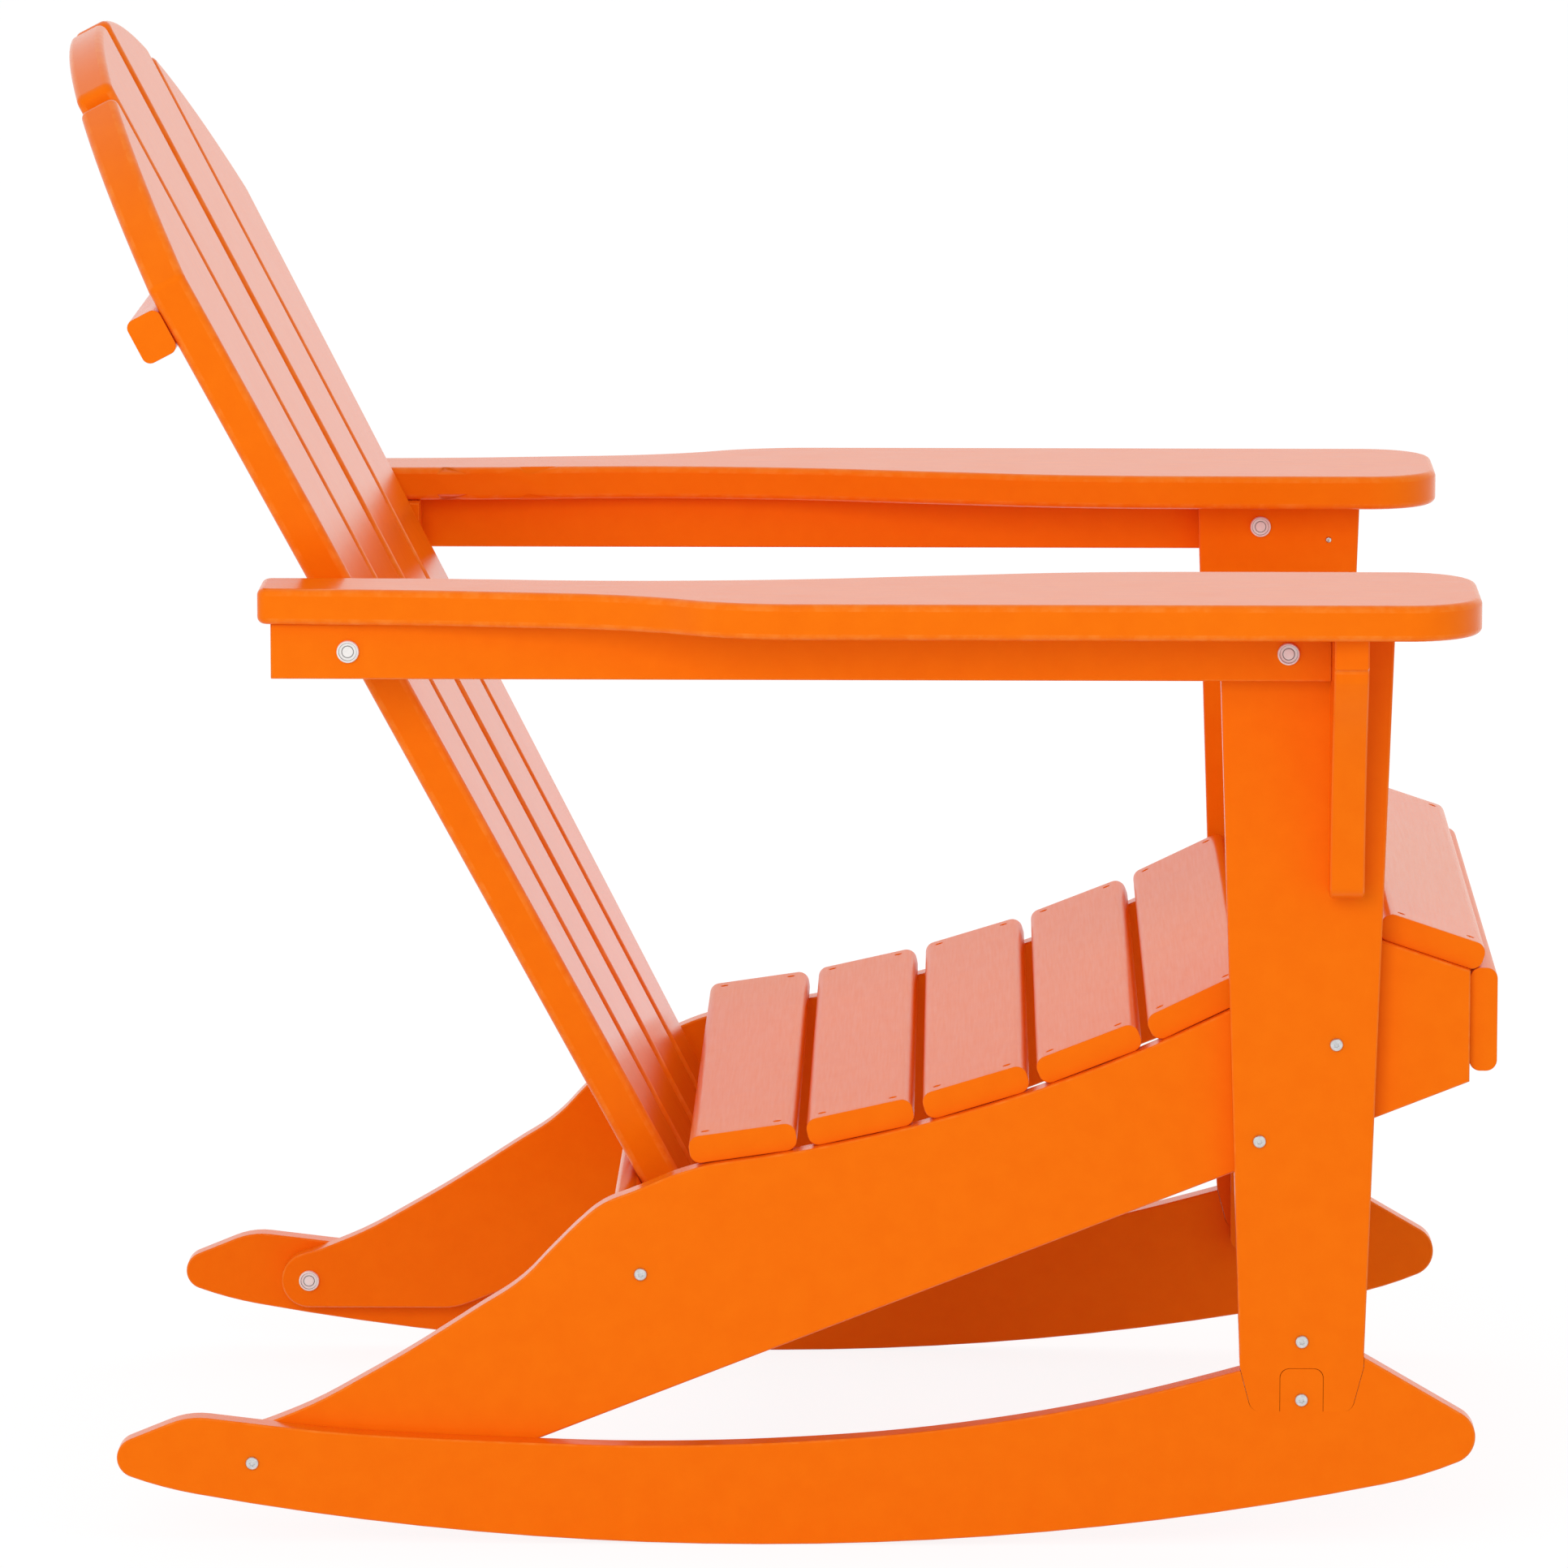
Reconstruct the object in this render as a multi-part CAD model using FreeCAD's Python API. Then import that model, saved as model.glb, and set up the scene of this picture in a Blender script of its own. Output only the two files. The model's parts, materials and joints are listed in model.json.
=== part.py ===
import FreeCAD, Part
import math
import os

# Outdoor rocking chair in solid plastic lumber boards.
# +X is the way the sitter faces, +Y the sitter's left, +Z up. The chair stands on
# the lowest line of its two rockers, and the origin is under the middle of its box.
# All lengths are in millimetres, all angles in degrees.

# Board stock and the rounding of its edges
frame_board = 17.5
arm_rail_board = 22.5
arm_board = 22.5
seat_board = 17.5
back_board = 25.0
bracket_board = 21.5
frame_ease = 1.0
arm_round = 4.5
seat_round = 7.0
back_round = 5.0

# Clearances
joint_gap = 0.3
seat_gap = 0.1
hole_gap = 0.3
overrun = 5.0

# Rocker: a long arc to roll on, with reaches measured from where it meets the floor
rocker_radius = 2000.0
rocker_tail_lift = 49.5
rocker_toe_lift = 57.8
rocker_lift_radius = 250.0
rocker_tail = 401.5
rocker_toe = 457.8
rocker_tail_round = 13.0
rocker_toe_round = 17.5
rocker_tail_slope = 22.3
rocker_toe_slope = 30.3
rocker_tail_crest = 45.5
rocker_toe_crest = 85.7
rocker_crest_round = 50.0
rocker_waist = 63.8
rocker_top_shares = (
    (0.115, 1.183), (0.312, 1.02), (0.368, 1.0), (0.482, 1.03), (0.602, 1.161), (0.721, 1.423), (0.826, 1.777))

# Seat rail: one curved board a side, from the knee at the front down to the heel
seat_width = 569.5
knee_lead = 46.7
knee_height = 386.6
nose_slope = 18.55
nose_depth = 70.9
seat_slope = 26.0
seat_straight = 116.0
dish_radius = 1007.0
dish_run = 439.37
heel_set = 85.9
heel_height = 51.6
heel_radius = 19.0
heel_slope = 13.0
sole_run = 100.8
sole_round = 45.0
heel_curve_shares = (
    (0.092, 0.063), (0.269, 0.226), (0.473, 0.447), (0.574, 0.564), (0.643, 0.686), (0.696, 0.777),
    (0.731, 0.829), (0.827, 0.904), (0.92, 0.968))

# Seat slats, front slat and apron, all cut from one stock
slat_width = 68.5
slat_spacing = 7.7
slat_inset = 7.25
slat_knee_margin = 10.0
slat_run = 470.0
front_slat_set = 33.0
front_slat_overhang = 5.96
apron_rise = 0.8
apron_height = 66.0

# Front post with its forked foot, the block behind the joint, and the arm bracket
post_set = 110.0
post_top_width = 110.0
post_foot_width = 78.0
post_round_stop = 124.0
fork_height = 87.5
fork_shoulder = 116.0
fork_width = 63.0
fork_round = 7.0
tongue_width = 27.0
tongue_height = 115.0
tongue_round = 6.0
joint_block_width = 60.0
joint_block_height = 78.0
joint_block_round = 8.0
bracket_shift = 25.2
bracket_height_share = 0.6406
bracket_spread = 74.0
bracket_lip = 20.0
bracket_foot = 26.0
bracket_foot_round = 9.0
bracket_curve_shares = ((0.90, 0.07), (0.52, 0.30), (0.20, 0.60), (0.05, 0.82))

# Arm, and the rail under its outer edge
arm_height = 591.5
arm_rail_height = 35.0
arm_rail_tail = 48.3
arm_tail = 56.3
arm_lead = 106.2
arm_outer_overhang = 95.25
arm_inner_overhang = 47.75
arm_back_overhang = 6.75
arm_back_width = 55.5
arm_front_round = 46.0
arm_back_round = 7.0
arm_outer_shares = ((0.165, 0.145), (0.329, 0.55), (0.375, 0.85), (0.44, 1.0))
arm_inner_shares = ((0.81, 0.0), (0.665, 0.13), (0.56, 0.53), (0.428, 1.05), (0.349, 1.2), (0.08, 1.0))

# Back: four tapered slats on three cross rails, leaning back
recline = 27.7
back_set = 7.35
back_datum = 72.65
back_foot_run = 169.42
crown_centre = 386.0
crown_radius = 338.0
taper_run = 622.0
back_side_gap = 49.25
back_spread = 71.0
split_low = 124.0
split_top = 145.5
side_gap_low = 15.5
side_gap_top = 7.0
centre_gap = 20.0
crown_corner_round = 8.0
back_rail_board = 23.0
back_rail_height = 30.0
back_rail_round = 5.5
upper_rail_rise = 545.0
lower_rail_board = 38.0
lower_rail_height = 89.0
lower_rail_round = 3.0
lower_rail_land = 12.9
lower_rail_drop = 23.9
block_front = 13.5
block_clearance = 4.0
block_lag_margin = 3.15

# Bolts, lags and the caps over the bolt ends
bolt_diameter = 6.0
head_diameter = 8.6
head_top_diameter = 5.2
head_height = 2.6
cap_diameter = 14.0
cap_height = 3.0
lag_length = 62.0
back_bolt_set = 17.65
arm_bolt_set = 12.4
seat_bolt_upper_set = 20.2
seat_bolt_upper_drop = 50.7
seat_bolt_lower_set = 27.7
seat_bolt_lower_drop = 89.3
joint_bolt_upper = 132.5
joint_bolt_lower = 95.0
foot_bolt_set = 17.2
foot_bolt_drop = 48.0

# Planes, levels and directions that follow from the sizes
fine = joint_gap / 100
rail_outer = seat_width / 2
rail_inner = rail_outer - frame_board
side_outer = rail_outer + frame_board
arm_rail_outer = side_outer + arm_rail_board
arm_rail_middle = arm_height - arm_rail_height / 2
post_reach = rocker_toe - post_set
heel_reach = heel_set - rocker_tail
arm_front = post_reach + arm_lead
arm_outer = side_outer + arm_outer_overhang
arm_inner = rail_outer - arm_inner_overhang
arm_back_outer = arm_rail_outer + arm_back_overhang
arm_back_inner = arm_back_outer - arm_back_width
arm_bolt_reach = post_reach - arm_bolt_set
half_width_low = rail_inner - back_side_gap
half_width_top = half_width_low + back_spread
slope = math.radians(seat_slope)
lean = math.radians(recline)
knee_reach = post_reach + knee_lead
nose_length = front_slat_set + slat_width / 2 - front_slat_overhang
nose_reach = knee_reach + nose_length * math.cos(math.radians(nose_slope))
nose_height = knee_height - nose_length * math.sin(math.radians(nose_slope))
across = FreeCAD.Vector(0, 1, 0)
upright = FreeCAD.Vector(0, 0, 1)
back_normal = FreeCAD.Vector(math.cos(lean), 0, math.sin(lean))
back_up = FreeCAD.Vector(-math.sin(lean), 0, math.cos(lean))


# Points, edges and boards


def point(x, z, y=0):
    """A point given by its reach and height, as seen from the side."""
    return FreeCAD.Vector(x, y, z)


def line(a, b):
    return Part.LineSegment(a, b).toShape()


def arc(a, through, b):
    return Part.Arc(a, through, b).toShape()


def arc_from(a, way, b):
    """The arc from a to b that sets off in the given direction, or a line where it is straight."""
    chord = b - a
    ahead = FreeCAD.Vector(chord).normalize()
    aside = way - ahead * way.dot(ahead)
    bulge = aside * (chord.Length / 2 / (1 + way.dot(ahead)))
    if bulge.Length < fine:
        return line(a, b)
    return arc(a, (a + b) / 2 + bulge, b)


def arc_pair(a, way_a, b, way_b):
    """Two tangent arcs from a to b, with their directions at both ends."""
    chord = b - a
    along = chord.dot(way_a + way_b)
    turn = 2 * (1 - way_a.dot(way_b))
    reach = chord.dot(chord) / (along + math.sqrt(along ** 2 + turn * chord.dot(chord)))
    meet = (a + b + (way_a - way_b) * reach) / 2
    return [arc_from(a, way_a, meet), arc_from(b, way_b * -1, meet)]


def flowing(points, start, end):
    """Tangent arcs through the points, with their directions at both ends."""
    ways = [FreeCAD.Vector(start).normalize()]
    for before, here, after in zip(points, points[1:], points[2:]):
        back = here - before
        on = after - here
        ways.append((back * (on.Length / back.Length) + on * (back.Length / on.Length)).normalize())
    ways.append(FreeCAD.Vector(end).normalize())
    edges = []
    for i in range(len(points) - 1):
        edges += arc_pair(points[i], ways[i], points[i + 1], ways[i + 1])
    return edges


def bend(before, corner, after, radius):
    """Start, middle and end of the tangent arc that rounds a corner."""
    back = (before - corner).normalize()
    on = (after - corner).normalize()
    half = back.getAngle(on) / 2
    centre = corner + (back + on).normalize() * (radius / math.sin(half))
    middle = centre + (corner - centre).normalize() * radius
    reach = radius / math.tan(half)
    return corner + back * reach, middle, corner + on * reach


def rounded(corners):
    """A closed wire through (corner, radius) pairs. A radius of 0 leaves the corner sharp."""
    count = len(corners)
    turns = []
    for i, (corner, radius) in enumerate(corners):
        if radius == 0:
            turns.append((corner, None, corner))
        else:
            turns.append(bend(corners[i - 1][0], corner, corners[(i + 1) % count][0], radius))
    edges = []
    for i, (start, middle, end) in enumerate(turns):
        following = turns[(i + 1) % count][0]
        if middle is not None:
            edges.append(arc(start, middle, end))
        if not end.isEqual(following, fine):
            edges.append(line(end, following))
    return Part.Wire(edges)


def slab(wire, depth):
    """A board cut to the outline, as thick as the depth vector is long."""
    return Part.Face(wire).extrude(depth)


def rim(board, depth, wanted=None):
    """The edges that run round the two broad faces of a board."""
    along = FreeCAD.Vector(depth).normalize()
    chosen = []
    for edge in board.Edges:
        middle = edge.valueAt((edge.FirstParameter + edge.LastParameter) / 2)
        levels = [vertex.Point.dot(along) for vertex in edge.Vertexes] + [middle.dot(along)]
        if max(levels) - min(levels) < fine and (wanted is None or wanted(middle)):
            chosen.append(edge)
    return chosen


def softened(board, depth, radius, wanted=None):
    return board.makeFillet(radius, rim(board, depth, wanted))


def eased(board, depth, wanted=None):
    return board.makeChamfer(frame_ease, rim(board, depth, wanted))


def mirrored(shape):
    """The same piece on the sitter's right."""
    return shape.mirror(FreeCAD.Vector(), across)


def both_sides(name, shape):
    return {"left_" + name: shape, "right_" + name: mirrored(shape)}


def drilled(board, places):
    """Clearance holes across the board, at (reach, height) places."""
    box = board.BoundBox
    radius = bolt_diameter / 2 + hole_gap
    for reach, height in places:
        start = point(reach, height, box.YMin - overrun)
        board = board.cut(Part.makeCylinder(radius, box.YLength + 2 * overrun, start, across))
    return board


def lag_hole(reach, height, face, depth):
    """What a lag screw takes out of the piece behind the face."""
    start = point(reach, height, face + overrun)
    return Part.makeCylinder(bolt_diameter / 2 + hole_gap, depth + hole_gap + overrun, start, across * -1)


# Lines of the seat, the post and the back


def dish_centre():
    join = point(knee_reach - seat_straight * math.cos(slope), knee_height - seat_straight * math.sin(slope))
    return join + point(-math.sin(slope), math.cos(slope)) * dish_radius


def dish_point(angle):
    """A point of the dished part of the seat line, by its slope in radians."""
    return dish_centre() + point(math.sin(angle), -math.cos(angle)) * dish_radius


def seat_line(distance):
    """The seat line that far behind the knee: a point, and the slope there in radians."""
    if distance <= seat_straight:
        return point(knee_reach, knee_height) - point(math.cos(slope), math.sin(slope)) * distance, slope
    angle = slope - (distance - seat_straight) / dish_radius
    return dish_point(angle), angle


def seat_bolts():
    """Where bolts join the seat rail to the post, each a reach and a height."""
    places = []
    for reach, drop in (
            (post_reach + seat_bolt_upper_set, seat_bolt_upper_drop),
            (post_reach - seat_bolt_lower_set, seat_bolt_lower_drop)):
        places.append((reach, knee_height - (knee_reach - reach) * math.tan(slope) - drop))
    return places


def post_width(height):
    share = (height - fork_shoulder) / (arm_height - fork_shoulder)
    return post_foot_width + (post_top_width - post_foot_width) * share


def on_back(y, rise, depth=0):
    """A point of the back: that far to the side, up the slats, and behind their front."""
    seat_end = seat_line(slat_run)[0]
    return seat_end + across * y + back_up * (back_datum + rise) - back_normal * (back_set + depth)


def rise_at(level, depth):
    """How far up the slats a level is met, at a depth behind their front."""
    return (level - on_back(0, 0, depth).z) / math.cos(lean)


def along_back(low, top, rise):
    return low + (top - low) * rise / taper_run


def half_width(rise):
    return along_back(half_width_low, half_width_top, rise)


def side_gap(rise):
    return along_back(side_gap_low, side_gap_top, rise)


def inner_edge(rise):
    """The outer slat's edge towards the middle."""
    return along_back(split_low, split_top, rise) + side_gap(rise) / 2


def outer_edge(rise):
    """The middle slat's edge away from the middle."""
    return inner_edge(rise) - side_gap(rise)


# Places that follow from those lines
dish_back_slope = slope - (dish_run - seat_straight) / dish_radius
dish_back = dish_point(dish_back_slope)
back_bolt_reach = on_back(0, rise_at(arm_rail_middle, 0)).x - back_bolt_set
arm_rail_back = back_bolt_reach - arm_rail_tail
arm_back = back_bolt_reach - arm_tail


# Sides of the chair


def foot_corners(gap):
    """The forked foot of the post, grown by the gap at its sides."""
    top = post_round_stop + overrun
    places = (
        (post_width(top) / 2, top, 0), (post_width(fork_shoulder) / 2, fork_shoulder, 0),
        (fork_width / 2, fork_height, fork_round + gap))
    right = [(point(post_reach + reach + gap, height), radius) for reach, height, radius in places]
    left = [(point(post_reach - reach - gap, height), radius) for reach, height, radius in reversed(places)]
    return right + left


def tongue(gap, depth, start):
    """The rocker's tongue between the prongs of the post, grown by the gap."""
    half = tongue_width / 2 + gap
    top = tongue_height + gap
    bottom = fork_height - overrun
    corners = [
        (point(post_reach - half, bottom), 0), (point(post_reach - half, top), tongue_round),
        (point(post_reach + half, top), tongue_round), (point(post_reach + half, bottom), 0)]
    return slab(rounded(corners), depth).translate(start)


def rocker_end(side, reach, lift, radius, angle, crest_set):
    """Points of one end: the long arc's end, the nose's start, top and middle, and the crest's corner."""
    centre = point(0, rocker_radius)
    run = reach - lift
    foot = point(side * run, rocker_radius - math.sqrt(rocker_radius ** 2 - run ** 2))
    lift_centre = centre + (foot - centre) * (1 - rocker_lift_radius / rocker_radius)
    nose_reach = side * (reach - radius)
    rise = math.sqrt((rocker_lift_radius - radius) ** 2 - (nose_reach - lift_centre.x) ** 2)
    nose = point(nose_reach, lift_centre.z - rise)
    down = (nose - lift_centre).normalize()
    up = point(side * math.sin(angle), math.cos(angle))
    top = nose + up * radius
    inwards = point(-side * math.cos(angle), math.sin(angle))
    crest = top + inwards * ((side * (reach - crest_set) - top.x) / inwards.x)
    return foot, lift_centre + down * rocker_lift_radius, nose + (down + up).normalize() * radius, top, crest


def rocker():
    depth = across * frame_board
    start = across * rail_outer
    tail_foot, tail_nose, tail_middle, tail_top, tail_crest = rocker_end(
        -1, rocker_tail, rocker_tail_lift, rocker_tail_round, math.radians(rocker_tail_slope), rocker_tail_crest)
    toe_foot, toe_nose, toe_middle, toe_top, toe_crest = rocker_end(
        1, rocker_toe, rocker_toe_lift, rocker_toe_round, math.radians(rocker_toe_slope), rocker_toe_crest)
    span = rocker_tail + rocker_toe
    top = [point(x * span - rocker_tail, z * rocker_waist) for x, z in rocker_top_shares]
    tail_turn = bend(tail_top, tail_crest, top[0], rocker_crest_round)
    toe_turn = bend(top[-1], toe_crest, toe_top, rocker_crest_round)
    forward = (toe_foot - point(0, rocker_radius)).cross(across).normalize()
    backward = (tail_foot - point(0, rocker_radius)).cross(across * -1).normalize()
    outline = Part.Wire(
        [arc(tail_foot, point(0, 0), toe_foot), arc_from(toe_foot, forward, toe_nose)]
        + [arc(toe_nose, toe_middle, toe_top), line(toe_top, toe_turn[2]), arc(*reversed(toe_turn))]
        + [line(toe_turn[0], top[-1])]
        + flowing(top[::-1], top[-1] - toe_crest, tail_crest - top[0])
        + [line(top[0], tail_turn[2]), arc(*reversed(tail_turn)), line(tail_turn[0], tail_top)]
        + [arc(tail_top, tail_middle, tail_nose), arc_from(tail_foot, backward, tail_nose)])
    board = eased(slab(outline, depth), depth).translate(start)
    pocket = slab(rounded(foot_corners(joint_gap)), depth).translate(start)
    board = board.cut(pocket.cut(tongue(0, depth, start)))
    return drilled(board, [
        (heel_reach, heel_height), (post_reach, joint_bolt_upper), (post_reach, joint_bolt_lower)])


def front_post():
    depth = across * frame_board
    start = across * rail_outer
    levels = ((post_width(arm_height) / 2, arm_height), (post_width(post_round_stop) / 2, post_round_stop))
    shaft = [point(post_reach + reach, height) for reach, height in levels]
    shaft += [point(post_reach - reach, height) for reach, height in reversed(levels)]
    shaft = slab(Part.makePolygon(shaft + shaft[:1]), depth)

    def on_side(middle):
        return post_round_stop + overrun < middle.z < arm_height - overrun

    shaft = eased(shaft, depth, on_side)
    corners = foot_corners(0)
    half = post_width(post_round_stop) / 2
    corners[0] = (point(post_reach + half, post_round_stop), 0)
    corners[-1] = (point(post_reach - half, post_round_stop), 0)
    post = shaft.fuse(slab(rounded(corners), depth)).translate(start)
    post = post.cut(tongue(joint_gap, depth, start))
    return drilled(post, [
        (post_reach, joint_bolt_upper), (arm_bolt_reach, arm_rail_middle)] + seat_bolts())


def joint_block():
    """Backs the forked joint between post and rocker, on its inner side."""
    middle = (joint_bolt_upper + joint_bolt_lower) / 2
    half = joint_block_width / 2
    rise = joint_block_height / 2
    corners = [
        (point(post_reach + x * half, middle + z * rise), joint_block_round)
        for x, z in ((-1, -1), (-1, 1), (1, 1), (1, -1))]
    block = slab(rounded(corners), across * seat_board).translate(across * (rail_outer - seat_board))
    return drilled(block, [(post_reach, joint_bolt_upper), (post_reach, joint_bolt_lower)])


def seat_rail():
    depth = across * frame_board
    heel = point(heel_reach, heel_height)
    rise = math.radians(heel_slope)
    heel_top = heel + point(-math.sin(rise), math.cos(rise)) * heel_radius
    heel_foot = heel - point(0, heel_radius)
    join = dish_point(slope)
    knee = point(knee_reach, knee_height)
    nose = point(nose_reach, nose_height)
    nose_foot = nose - point(0, nose_depth)
    sole = heel_foot + point(sole_run, 0)
    sole_turn = bend(nose_foot, sole, heel_foot, sole_round)
    span = dish_back - point(heel.x, heel.z + heel_radius)
    curve = [point(heel.x + x * span.x, heel.z + heel_radius + z * span.z) for x, z in heel_curve_shares]
    onwards = point(math.cos(dish_back_slope), math.sin(dish_back_slope))
    outline = Part.Wire(
        [arc(heel_foot, heel - point(heel_radius, 0), heel_top)]
        + flowing([heel_top] + curve + [dish_back], point(math.cos(rise), math.sin(rise)), onwards)
        + [arc(dish_back, dish_point((dish_back_slope + slope) / 2), join)]
        + [line(join, knee), line(knee, nose), line(nose, nose_foot)]
        + [line(nose_foot, sole_turn[0]), arc(*sole_turn), line(sole_turn[2], heel_foot)])
    board = eased(slab(outline, depth), depth).translate(across * rail_inner)
    return drilled(board, [(heel_reach, heel_height), lower_rail_bolt()] + seat_bolts())


def arm_rail():
    front = post_reach + bracket_shift - bracket_board / 2
    bottom = arm_height - arm_rail_height
    corners = [
        point(arm_rail_back, bottom), point(front, bottom), point(front, arm_height),
        point(arm_rail_back, arm_height)]
    depth = across * arm_rail_board
    board = eased(slab(Part.makePolygon(corners + corners[:1]), depth), depth)
    return drilled(board.translate(across * side_outer), [
        (back_bolt_reach, arm_rail_middle), (arm_bolt_reach, arm_rail_middle)])


def arm_bracket():
    """A corbel on the outside of the post, under the arm's overhang."""
    start = post_reach + bracket_shift - bracket_board / 2
    foot = arm_height - bracket_height_share * (arm_height - seat_bolts()[0][1])
    lip = arm_height - bracket_lip
    top_inner = point(start, arm_height, side_outer)
    top_outer = point(start, arm_height, side_outer + bracket_spread)
    lip_outer = point(start, lip, side_outer + bracket_spread)
    foot_outer = point(start, foot, side_outer + bracket_foot)
    foot_inner = point(start, foot, side_outer)
    spread = bracket_spread - bracket_foot
    drop = lip - foot
    curve = [
        point(start, lip - z * drop, side_outer + bracket_foot + y * spread) for y, z in bracket_curve_shares]
    turn = bend(curve[-1], foot_outer, foot_inner, bracket_foot_round)
    outline = Part.Wire(
        [line(top_inner, top_outer), line(top_outer, lip_outer)]
        + flowing([lip_outer] + curve + [turn[0]], across * -1, foot_outer - curve[-1])
        + [arc(*turn), line(turn[2], foot_inner), line(foot_inner, top_inner)])
    depth = FreeCAD.Vector(bracket_board, 0, 0)

    def shows(middle):
        return middle.y > side_outer + fine and middle.z < arm_height - fine

    return eased(slab(outline, depth), depth, shows)


def arm():
    length = arm_front - arm_back
    level = arm_height

    def place(x, y):
        return FreeCAD.Vector(x, y, level)

    outer = [
        place(arm_back + x * length, arm_back_outer + y * (arm_outer - arm_back_outer)) for x, y in arm_outer_shares]
    inner = [
        place(arm_back + x * length, arm_inner + y * (arm_back_inner - arm_inner)) for x, y in arm_inner_shares]
    front_outer = place(arm_front, arm_outer)
    front_inner = place(arm_front, arm_inner)
    back_outer = place(arm_back, arm_back_outer)
    back_inner = place(arm_back, arm_back_inner)
    turns = [
        bend(outer[-1], front_outer, front_inner, arm_front_round),
        bend(front_outer, front_inner, inner[0], arm_front_round),
        bend(inner[-1], back_inner, back_outer, arm_back_round),
        bend(back_inner, back_outer, outer[0], arm_back_round)]
    forward = FreeCAD.Vector(1, 0, 0)
    outline = Part.Wire(
        flowing([turns[3][2]] + outer, outer[0] - turns[3][2], forward)
        + [line(outer[-1], turns[0][0]), arc(*turns[0]), line(turns[0][2], turns[1][0]), arc(*turns[1])]
        + [line(turns[1][2], inner[0])]
        + flowing(inner + [turns[2][0]], forward * -1, turns[2][0] - inner[-1])
        + [arc(*turns[2]), line(turns[2][2], turns[3][0]), arc(*turns[3])])
    depth = upright * arm_board

    def on_underside(middle):
        return middle.z < level + fine

    def on_top(middle):
        return not on_underside(middle)

    return eased(softened(slab(outline, depth), depth, arm_round, on_top), depth, on_underside)


# Seat


def seat_slat(place, angle):
    """A slat across the chair, its underside on the place and sloped by the angle."""
    along = point(math.cos(angle), math.sin(angle))
    up = point(-math.sin(angle), math.cos(angle))
    half = slat_width / 2
    corners = [
        (place + along * half * x + up * (seat_gap + z * seat_board), seat_round)
        for x, z in ((-1, 0), (-1, 1), (1, 1), (1, 0))]
    reach = rail_outer - slat_inset
    return slab(rounded(corners), across * 2 * reach).translate(across * -reach)


def seat_slats():
    """As many slats as the seat line holds, numbered from the back."""
    pitch = slat_width + slat_spacing
    count = int((slat_run - slat_knee_margin + slat_spacing) / pitch)
    flat = slat_width / 2 - seat_round
    sag = dish_radius - math.sqrt(dish_radius ** 2 - flat ** 2)
    slats = {}
    for number in range(1, count + 1):
        distance = slat_knee_margin + slat_width / 2 + (count - number) * pitch
        place, angle = seat_line(distance)
        up = point(-math.sin(angle), math.cos(angle))
        slats["seat_slat_%d" % number] = seat_slat(place + up * sag, angle)
    return slats


def front_seat_slat():
    knee = point(knee_reach, knee_height)
    fall = (point(nose_reach, nose_height) - knee).normalize()
    return seat_slat(knee + fall * front_slat_set, math.atan2(fall.z, fall.x))


def front_apron():
    top = nose_height + apron_rise
    corners = [
        (point(nose_reach + x * seat_board, top - z * apron_height), seat_round)
        for x, z in ((0, 1), (0, 0), (1, 0), (1, 1))]
    reach = rail_outer - slat_inset
    return slab(rounded(corners), across * 2 * reach).translate(across * -reach)


# Back


def crown_meet(edge):
    """The rise where a slat's edge, given as its distance from the middle by rise, meets the crown."""
    low = edge(0)
    growth = (edge(taper_run) - low) / taper_run
    reach = low + growth * crown_centre
    spread = 1 + growth ** 2
    root = math.sqrt(spread * crown_radius ** 2 - reach ** 2)
    return crown_centre + (root - growth * reach) / spread


def back_slat(near, far):
    """One slat between two edges, each its distance from the middle by rise."""
    foot = -back_foot_run
    near_top = crown_meet(near)
    far_top = crown_meet(far)
    middle = (near(near_top) + far(far_top)) / 2
    crown = crown_centre + math.sqrt(crown_radius ** 2 - middle ** 2)
    outline = Part.Wire([
        line(on_back(near(foot), foot), on_back(near(near_top), near_top)),
        arc(on_back(near(near_top), near_top), on_back(middle, crown), on_back(far(far_top), far_top)),
        line(on_back(far(far_top), far_top), on_back(far(foot), foot)),
        line(on_back(far(foot), foot), on_back(near(foot), foot))])
    depth = back_normal * -back_board
    board = slab(outline, depth)
    level = on_back(0, crown_centre).z
    corners = [
        edge for edge in board.Edges
        if edge.Vertexes[0].Z > level and abs(edge.tangentAt(edge.FirstParameter).dot(back_normal)) > math.cos(lean)]

    def behind(middle):
        return (middle - on_back(0, 0, back_board)).dot(back_normal) < fine

    def in_front(middle):
        return not behind(middle)

    board = softened(board.makeFillet(crown_corner_round, corners), depth, back_round, in_front)
    return eased(board, depth, behind)


def centre_edge(rise):
    return centre_gap / 2


def cross_rail(rise, reach):
    """A rail behind the slats, square to them, centred on the rise."""
    half = back_rail_height / 2
    corners = [
        (on_back(-reach, rise + x * half, back_board + z * back_rail_board), back_rail_round)
        for x, z in ((-1, 0), (1, 0), (1, 1), (-1, 1))]
    return slab(rounded(corners), across * 2 * reach)


def middle_back_rail():
    """Lies between the arm rails, its upper corner just under the arms."""
    tall = back_rail_height / 2 - back_rail_round
    deep = back_rail_board / 2 - back_rail_round
    reach_up = tall * math.cos(lean) + deep * math.sin(lean) + back_rail_round
    level = arm_height - joint_gap - reach_up
    return cross_rail(rise_at(level, back_board + back_rail_board / 2), side_outer)


def lower_rail_top():
    return dish_back.z - lower_rail_drop


def lower_rail_rear():
    top = lower_rail_top()
    return on_back(0, rise_at(top, back_board), back_board).x - lower_rail_land


def lower_rail_bolt():
    return lower_rail_rear() + foot_bolt_set, lower_rail_top() - foot_bolt_drop


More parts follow.
